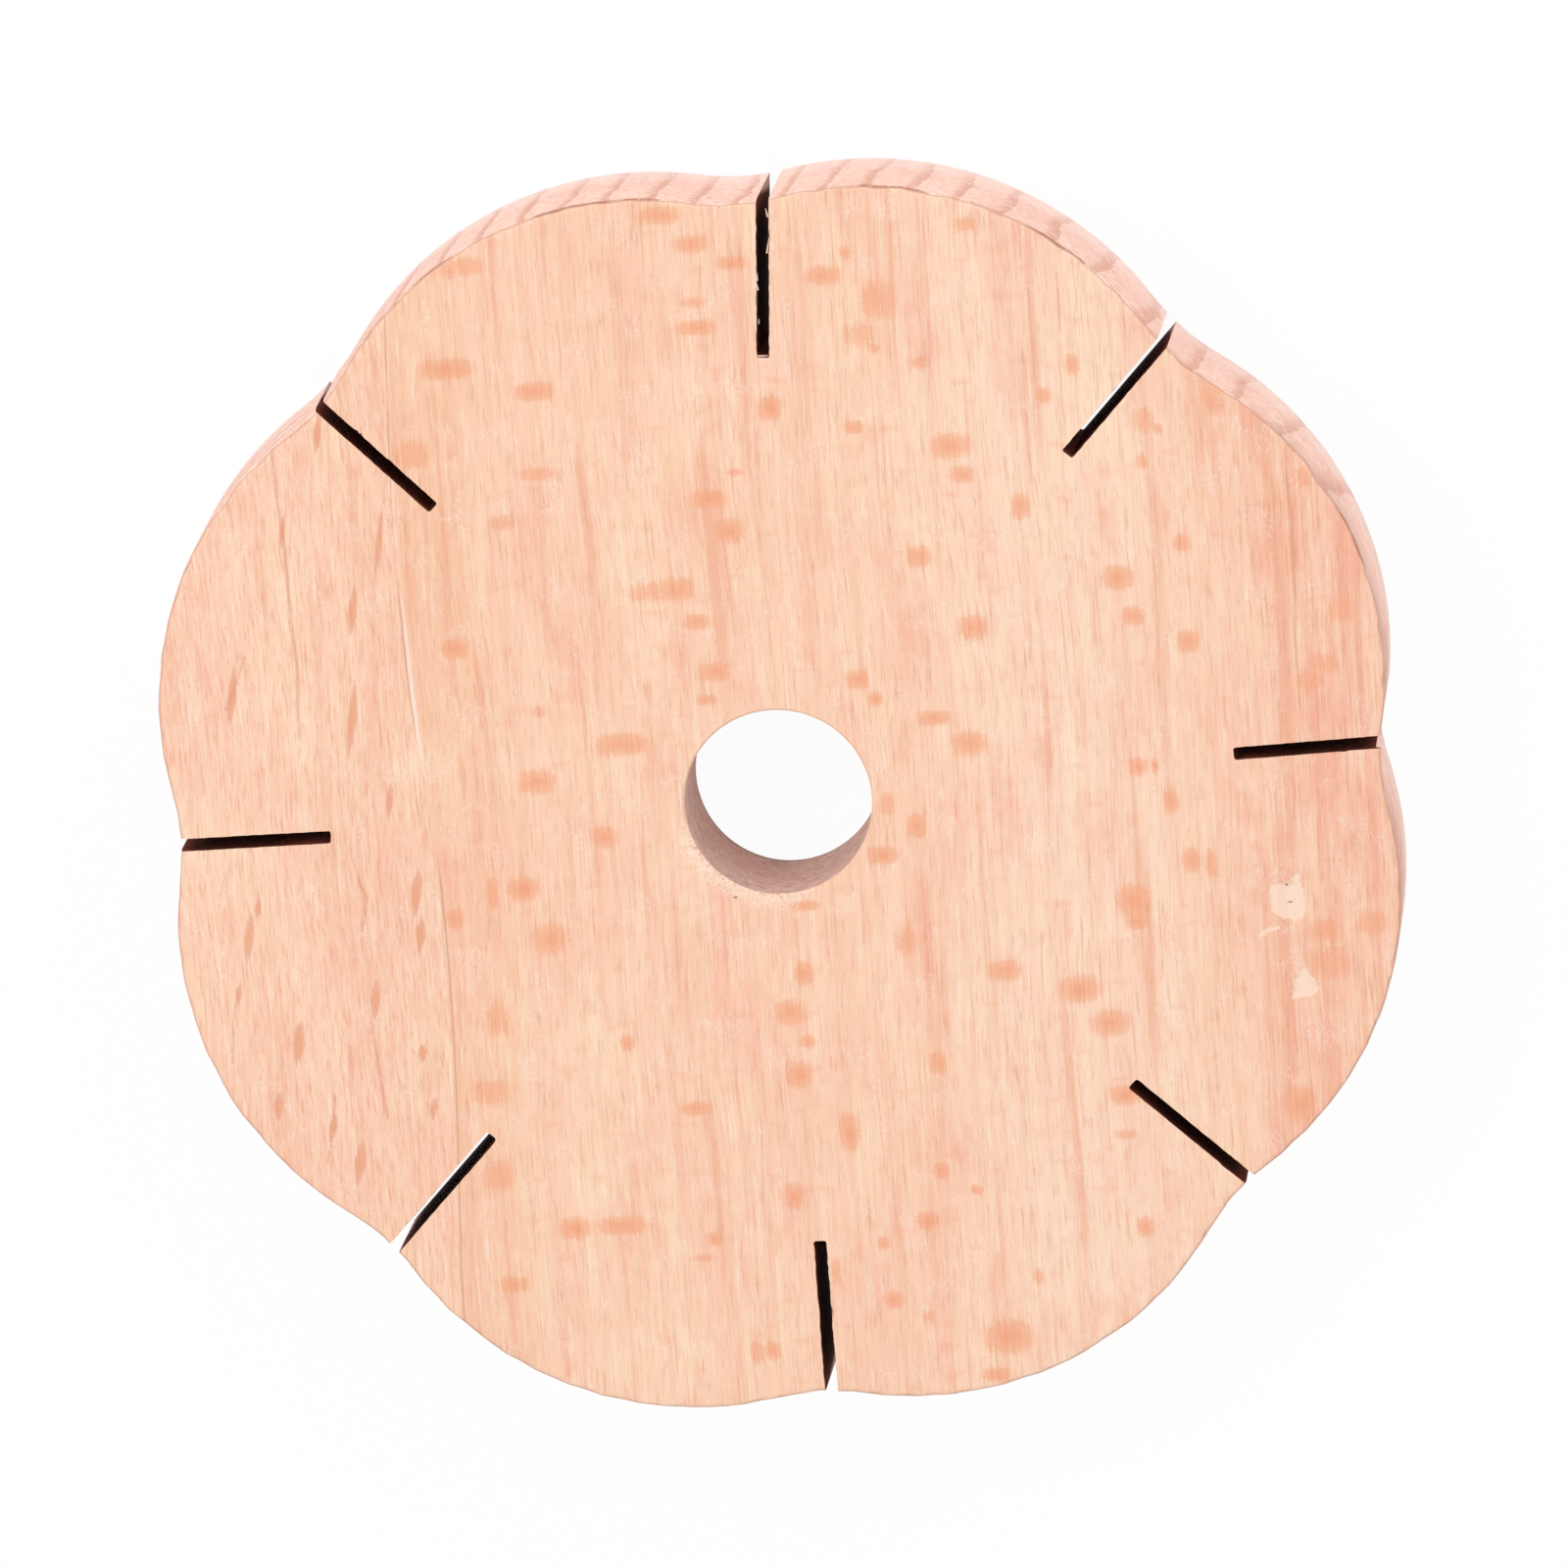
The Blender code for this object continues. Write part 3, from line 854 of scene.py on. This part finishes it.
# %% Growth rings
LATE_FROM = 0.6  # share of a ring where the late wood starts
LATE_FULL = 0.97
bent = add(grain, "ShaderNodeSeparateXYZ", {0: block})
ring_place = add(grain, "ShaderNodeMath", {
    0: bent.outputs["Z"], 1: RING_LEAN, 2: bent.outputs["X"],
}, operation="MULTIPLY_ADD").outputs[0]
wobble = add(grain, "ShaderNodeTexNoise", {
    "Vector": block, "Scale": WOBBLE_SCALE, "Detail": 2.0,
}).outputs["Fac"]
ring_bent = add(grain, "ShaderNodeMath", {0: wobble, 1: RING_WOBBLE, 2: ring_place},
                operation="MULTIPLY_ADD").outputs[0]
from_ring = add(grain, "ShaderNodeMath", {0: ring_bent, 1: RING_PLACE + RING_WOBBLE / 2},
                operation="SUBTRACT").outputs[0]
ring_count = add(grain, "ShaderNodeMath", {0: from_ring, 1: RING_SPACING}, operation="DIVIDE").outputs[0]
ring_phase = add(grain, "ShaderNodeMath", {0: ring_count}, operation="FRACT").outputs[0]
late = add(grain, "ShaderNodeMapRange", {
    "Value": ring_phase, "From Min": LATE_FROM, "From Max": LATE_FULL,
}, interpolation_type="SMOOTHSTEP").outputs[0]
fade = add(grain, "ShaderNodeMapRange", {
    "Value": ring_phase, "From Min": LATE_FULL, "From Max": 1.0, "To Min": 1.0, "To Max": 0.0,
}, interpolation_type="SMOOTHSTEP").outputs[0]
rings = add(grain, "ShaderNodeMath", {0: late, 1: fade}, operation="MULTIPLY").outputs[0]

across = add(grain, "ShaderNodeSeparateXYZ", {0: pushed})
tone_place = add(grain, "ShaderNodeMath", {0: across.outputs["X"], 1: axes.outputs["X"]}).outputs[0]
add(grain, "NodeGroupOutput", {
    "Across": tone_place,
    "Reach": reach,
    "Height": axes.outputs["Z"],
    "Rings": rings,
    "Fuzz": fuzz,
    "Narrow stave": narrow,
    "Past joint": past_joint,
    "Millimetres": in_mm,
    **noises,
})
print("nodes in the grain:", len(grain.nodes))

# %% [markdown]
# Sanded bare beech is matt, with a peach ground. The colour is laid on in thin coats,
# each a mask from the grain and a tint: bands, clouds, streaks, fibres, rays, and the
# marks that were painted on the mesh. A coat's strength is the most that it covers, and
# it can differ on the two staves.

# %% Coats of colour
def coats(tree, wood, ground, layers):
    """Lay tints over a ground colour. Each layer is a mask, its range, its strength and a tint."""
    colour = linear(ground)
    for mask, low, high, strength, tint in layers:
        if isinstance(strength, tuple):
            wide, narrow = strength
            strength = add(tree, "ShaderNodeMath", {
                0: wood["Narrow stave"], 1: narrow - wide, 2: wide,
            }, operation="MULTIPLY_ADD").outputs[0]
        cover = add(tree, "ShaderNodeMapRange", {
            "Value": mask, "From Min": low, "From Max": high, "To Max": strength,
        }, interpolation_type="SMOOTHSTEP").outputs[0]
        colour = add(tree, "ShaderNodeMix", {0: cover, 6: colour, 7: linear(tint)},
                     data_type="RGBA").outputs[2]
    return colour


def start_material(name):
    """An empty material with the grain of the board in it."""
    material = bpy.data.materials.new(name)
    material.use_nodes = True
    material.node_tree.nodes.clear()
    wood = add(material.node_tree, "ShaderNodeGroup", node_tree=grain)
    return material, material.node_tree, wood.outputs


def finish_material(tree, colour, roughness, height, bump_depth, shine=0.3):
    """The bare wood shader, with its relief in millimetres."""
    relief = add(tree, "ShaderNodeBump", {"Height": height, "Distance": bump_depth * MM,
                                          "Strength": 1.0})
    surface = add(tree, "ShaderNodeBsdfPrincipled", {
        "Base Color": colour, "Roughness": roughness, "IOR": 1.5, "Metallic": 0.0,
        "Specular IOR Level": shine, "Normal": relief.outputs[0],
    })
    add(tree, "ShaderNodeOutputMaterial", {"Surface": surface.outputs[0]})


# %% [markdown]
# A painted mark would end in a clean curve. A real one frays along the fibres, so its
# depth is shifted by the fibres and by a fine spotty noise before a coat uses it.

# %% Marks with the edges of real ones
MARKS = (  # name, share of the fibres, share of the spots
    ("fleck", 1.1, 0.7), ("spindle", 0.8, 0.5), ("vein", 1.5, 1.0), ("torn", 0.4, 1.8),
    ("flake", 0.2, 0.5),
)
SPOT_SIZE = (0.25, 0.25, 0.25)
FLECK_OUTLINE = 0.12  # a fleck is outlined where it is this deep

sanded, tree, wood = start_material("beech, sanded")
spot = stretched_noise(tree, wood["Millimetres"], SPOT_SIZE, 2.0)
marks = {}
for name, fibre_share, spot_share in MARKS:
    painted = add(tree, "ShaderNodeAttribute", attribute_name=name).outputs["Fac"]
    frayed = add(tree, "ShaderNodeMath", {0: wood["Fibres"], 1: fibre_share, 2: painted},
                 operation="MULTIPLY_ADD").outputs[0]
    rough = add(tree, "ShaderNodeMath", {0: spot, 1: spot_share, 2: frayed},
                operation="MULTIPLY_ADD").outputs[0]
    middle = (fibre_share + spot_share) / 2
    marks[name] = add(tree, "ShaderNodeMath", {0: rough, 1: middle}, operation="SUBTRACT").outputs[0]

outline = distance(tree, marks["fleck"], FLECK_OUTLINE)
speck = add(tree, "ShaderNodeAttribute", attribute_name="speck").outputs["Fac"]
print("marks on the sanded faces:", list(marks))

# %% [markdown]
# The glue line is a pale seam with a broken dark line beside it, on its left in the upper
# half of the board and on its right below. The seam is clear for a short way only.

# %% Glue line
SEAM_ASIDE = 0.25  # from the seam to the dark line
SEAM_CLEAR = 10.5  # y where the seam is clearest
SEAM_FRAY = 0.3
axes = add(tree, "ShaderNodeSeparateXYZ", {0: wood["Millimetres"]})
shift = add(tree, "ShaderNodeMapRange", {
    "Value": axes.outputs["Y"], "From Min": -2.0, "From Max": 2.0,
    "To Min": SEAM_ASIDE, "To Max": -SEAM_ASIDE,
}).outputs[0]
line = distance(tree, wood["Past joint"], shift)
gaps = add(tree, "ShaderNodeMapRange", {
    "Value": wood["Clouds"], "From Min": 0.42, "From Max": 0.5, "To Min": 0.1, "To Max": 0.0,
}).outputs[0]
broken = add(tree, "ShaderNodeMath", {0: line, 1: gaps}).outputs[0]
fading = add(tree, "ShaderNodeMapRange", {
    "Value": distance(tree, axes.outputs["Y"], SEAM_CLEAR), "From Min": 3.5, "From Max": 8.5,
    "To Max": 0.14,
}).outputs[0]
from_seam = distance(tree, wood["Past joint"], 0.0)
faint = add(tree, "ShaderNodeMath", {0: from_seam, 1: fading}).outputs[0]
seam = add(tree, "ShaderNodeMath", {0: wood["Fibres"], 1: SEAM_FRAY, 2: faint},
           operation="MULTIPLY_ADD").outputs[0]

# %% [markdown]
# The board is paler in a wide band to the right of the bore, and beyond it turns pink and
# more streaky towards the right edge.

# %% Bands across the board
PALE_BAND = 23.0  # x of its middle
PINK_MORE = 0.1  # how much more often pink marks come on the pink side
PINK_STREAKS = 0.12
TEAR_MORE = 0.5  # and dark specks where the wood is torn

pale_band = distance(tree, wood["Across"], PALE_BAND)
pink_side = add(tree, "ShaderNodeMapRange", {
    "Value": wood["Across"], "From Min": 31.0, "From Max": 41.0,
}).outputs[0]
blotches, grit, pink_streaks = (
    add(tree, "ShaderNodeMath", {0: pink_side, 1: share, 2: wood[mask]},
        operation="MULTIPLY_ADD").outputs[0]
    for mask, share in (("Blush", PINK_MORE), ("Fibres", PINK_MORE), ("Streaks", PINK_STREAKS))
)
torn = add(tree, "ShaderNodeAttribute", attribute_name="torn").outputs["Fac"]
torn_specks = add(tree, "ShaderNodeMath", {0: torn, 1: TEAR_MORE, 2: spot},
                  operation="MULTIPLY_ADD").outputs[0]

# %% [markdown]
# The rounded upper edge of the outline is painted darker than the face, as shade where it turns away
# from the light. Its mask holds only between the face and the end of the rounding.

# %% Painted shade along the rounded edge
OUTLINE_FROM = KERF_MOUTH - 1.3  # the outline lies outside this reach
below_face = add(tree, "ShaderNodeMapRange", {
    "Value": distance(tree, wood["Height"], THICKNESS - EDGE_EASE),
    "From Min": EDGE_EASE - 0.02, "From Max": EDGE_EASE - 0.07,
}).outputs[0]
outside = add(tree, "ShaderNodeMath", {0: wood["Reach"], 1: OUTLINE_FROM},
              operation="GREATER_THAN").outputs[0]
painted_edge_shade = add(tree, "ShaderNodeMath", {0: below_face, 1: outside}, operation="MULTIPLY").outputs[0]

# %% [markdown]
# These are all the coats of the sanded faces, from the broad ones to the finest. Each row
# is a mask, the value where the coat starts, the value where it is full, its strength
# (wide stave, narrow stave) and its tint.

# %% Sanded faces
colour = coats(tree, wood, "FCCFB2", (
    (wood["Across"], -20.5, -22.5, (0.45, 0.0), "F6C09C"),
    (pale_band, 13.0, 4.0, (0.55, 0.0), "FFDFC8"),
    (wood["Across"], 33.0, 40.0, (0.35, 0.0), "F9BEA6"),
    (wood["Clouds"], 0.45, 0.66, (0.3, 0.4), "F8BFA4"),
    (wood["Clouds"], 0.5, 0.3, 0.35, "FFDFBE"),
    (wood["Blush"], 0.5, 0.68, (0.32, 0.5), "FBC0A8"),
    (wood["Blush"], 0.48, 0.3, 0.34, "FFE0BC"),
    (wood["Rings"], 0.2, 1.0, (0.15, 0.1), "EFAF88"),
    (wood["Streaks"], 0.54, 0.74, (0.24, 0.35), "F0B490"),
    (wood["Streaks"], 0.46, 0.3, 0.27, "FFE3C4"),
    (wood["Fibres"], 0.52, 0.7, (0.5, 0.5), "EAA987"),
    (wood["Fibres"], 0.46, 0.3, 0.56, "FFE9D4"),
    (pink_streaks, 0.6, 0.76, (0.45, 0.0), "EFA282"),
    (blotches, 0.58, 0.76, (0.4, 0.0), "F5AA8E"),
    (wood["Rays"], 0.66, 0.82, (0.2, 0.1), "F3A688"),
    (grit, 0.62, 0.78, (0.4, 0.0), "E3967A"),
    (wood["Small rays"], 0.52, 0.7, (0.1, 0.5), "E79C80"),
    (wood["Small rays"], 0.45, 0.3, (0.05, 0.4), "FFE6D6"),
    (wood["Fuzz"], 0.0, 1.0, 0.45, "FFF0E0"),
    (marks["fleck"], -0.42, 0.4, 0.68, "F5AA84"),
    (marks["fleck"], 0.35, 0.9, 0.4, "F0966A"),
    (outline, 0.16, 0.0, 0.12, "E8986F"),
    (marks["spindle"], -0.2, 0.15, 0.45, "D98A6A"),
    (marks["spindle"], 0.1, 0.6, 0.55, "F3A27C"),
    (marks["vein"], 0.1, 1.0, 0.6, "DB9A78"),
    (seam, 0.34, 0.22, 0.6, "FFEDE5"),
    (broken, 0.1, 0.03, 0.5, "BC8668"),
    (wood["Vessels"], 0.56, 0.74, (0.34, 0.2), "CC8E6C"),
    (marks["torn"], 0.3, 0.7, 0.55, "FFE6D4"),
    (torn_specks, 0.94, 1.12, 0.55, "CC8C66"),
    (marks["flake"], 0.0, 0.1, 0.72, "FFE2CE"),
    (speck, 0.0, 0.5, 0.75, "8C6450"),
    # painted shade on the rounded upper edge
    (painted_edge_shade, 0.0, 1.0, 0.55, "A87C6C"),
))
finish_material(tree, colour, 0.62, wood["Fibres"], 0.03)

# %% [markdown]
# The rim shows the wood end on: pale pink, with thin brown rings and the fine grey and white specks of
# cut fibres. Its upper edge is browner in places, most of all along the dark edge lines. The upper part
# of its right side is painted greyer, as shade.

# %% Sawn rim
EDGE_BAND = (THICKNESS - 0.7, THICKNESS - 0.35)  # the dark edge line comes in over this
SPECK_SIZE = (0.55, 2.0, 0.55)  # dots where the fibres end, dashes where they run along
SPECK_ROUGHNESS = 0.7

rim, tree, wood = start_material("beech, sawn and sanded rim")
speck = stretched_noise(tree, wood["Millimetres"], SPECK_SIZE, 3.0, SPECK_ROUGHNESS)
dark_edge = add(tree, "ShaderNodeAttribute", attribute_name="dark_edge").outputs["Fac"]
edge = add(tree, "ShaderNodeMapRange", {
    "Value": wood["Height"], "From Min": EDGE_BAND[0], "From Max": EDGE_BAND[1],
}).outputs[0]
dark_edge_line = add(tree, "ShaderNodeMath", {0: dark_edge, 1: edge}, operation="MULTIPLY").outputs[0]
broken_dark_edge = add(tree, "ShaderNodeMath", {0: speck, 1: 1.5, 2: dark_edge_line},
                  operation="MULTIPLY_ADD").outputs[0]
broken_edge = add(tree, "ShaderNodeMath", {0: wood["Clouds"], 1: 3.0, 2: edge},
                  operation="MULTIPLY_ADD").outputs[0]
# the upper part of the rim's right side is painted greyer and darker, as shade
right_side = add(tree, "ShaderNodeMapRange", {
    "Value": wood["Across"], "From Min": 36.0, "From Max": 45.0,
}).outputs[0]
upper_part = add(tree, "ShaderNodeMapRange", {
    "Value": wood["Height"], "From Min": 6.5, "From Max": 11.5,
}).outputs[0]
painted_right_shade = add(tree, "ShaderNodeMath", {0: right_side, 1: upper_part}, operation="MULTIPLY").outputs[0]
colour = coats(tree, wood, "FBD0BE", (
    (wood["Clouds"], 0.42, 0.66, 0.5, "F2BFAE"),
    (wood["Rings"], 0.0, 1.0, 0.75, "DC9C84"),
    (wood["Fibres"], 0.5, 0.66, 0.45, "E8AE98"),
    (speck, 0.52, 0.7, 0.5, "D59E90"),
    (speck, 0.49, 0.32, 0.5, "FFF1EA"),
    # painted light: the rim is paler towards its foot
    (wood["Height"], 6.0, 0.5, 0.4, "FFEFEA"),
    (painted_right_shade, 0.1, 1.0, 0.5, "CFA698"),
    (broken_edge, 2.4, 2.7, 0.4, "CB9074"),
    (broken_dark_edge, 1.15, 1.6, 0.8, "B27458"),
))
finish_material(tree, colour, 0.7, speck, 0.03)

# %% [markdown]
# The drill tore the fibres rather than slicing them, so the bore's wall is rougher, duller and more
# mottled than the rim, with raised fuzz. Round its lower end, where the wall meets the floor, a dark
# line is painted as shade.

# %% Drilled wall
BORE_SPECK_SIZE = (0.83, 0.83, 0.83)
bored, tree, wood = start_material("beech, drilled wall")
speck = stretched_noise(tree, wood["Millimetres"], BORE_SPECK_SIZE, 4.0, SPECK_ROUGHNESS)
colour = coats(tree, wood, "E9C1B0", (
    (wood["Clouds"], 0.4, 0.65, 0.4, "D4AEA4"),
    (wood["Fibres"], 0.48, 0.7, 0.6, "C09084"),
    (wood["Vessels"], 0.56, 0.72, 0.5, "A47464"),
    (speck, 0.5, 0.66, 0.5, "B08478"),
    (speck, 0.5, 0.34, 0.5, "F6DACC"),
    (wood["Fuzz"], 0.0, 1.0, 0.4, "F8E0D4"),
    # painted shade round the foot of the wall, where it meets the floor
    (wood["Height"], 0.9, 0.3, 0.65, "7C564E"),
))
finish_material(tree, colour, 0.6, wood["Fibres"], 0.03)

# %% [markdown]
# The beam that cut the kerfs left their walls black-brown. Little light gets down there, so the colour
# of the char is written lighter than it looks. At the mouth a lighter red-brown is painted, as the light
# that gets in there, and a pale colour is painted on the outer lower corner, as light over its shade.

# %% Charred kerf walls
PALE_CORNER_SLANT = -0.15  # the painted light starts farther out near the worked face
charred, tree, wood = start_material("beech, charred by the cut")
torn = add(tree, "ShaderNodeAttribute", attribute_name="torn").outputs["Fac"]
painted_light_corner = add(tree, "ShaderNodeMath", {0: wood["Height"], 1: PALE_CORNER_SLANT, 2: wood["Reach"]},
                   operation="MULTIPLY_ADD").outputs[0]
colour = coats(tree, wood, "8A4A3A", (
    (wood["Reach"], 36.5, 40.5, 0.85, "582A20"),
    # painted light: a lighter red-brown at the mouth, where light gets in
    (wood["Reach"], 46.0, 47.2, 0.75, "84402F"),
    (wood["Fibres"], 0.48, 0.7, 0.6, "3A1C14"),
    (wood["Small rays"], 0.58, 0.7, 0.4, "B57A64"),
    # painted light: a pale colour over the shade on the outer lower corner
    (painted_light_corner, 46.2, 46.8, 0.8, "E8CCC2"),
    (torn, 0.3, 0.6, 0.9, "FBE0D0"),
))
finish_material(tree, colour, 0.8, wood["Fibres"], 0.01, shine=0.05)

for material in (sanded, rim, bored, charred):
    disk_mesh.materials.append(material)
    print(material.name + ", nodes:", len(material.node_tree.nodes))

# %% [markdown]
# The new disk takes the place of the frame's one and moves with it. Its size is saved
# beside the solid model's, to show that the two agree.

# %% Tie the disk to the frame
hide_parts("braiding_disk")
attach(disk, "root")

low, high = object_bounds()
print("dressed model, mm:", [round(1000 * side, 2) for side in high - low])
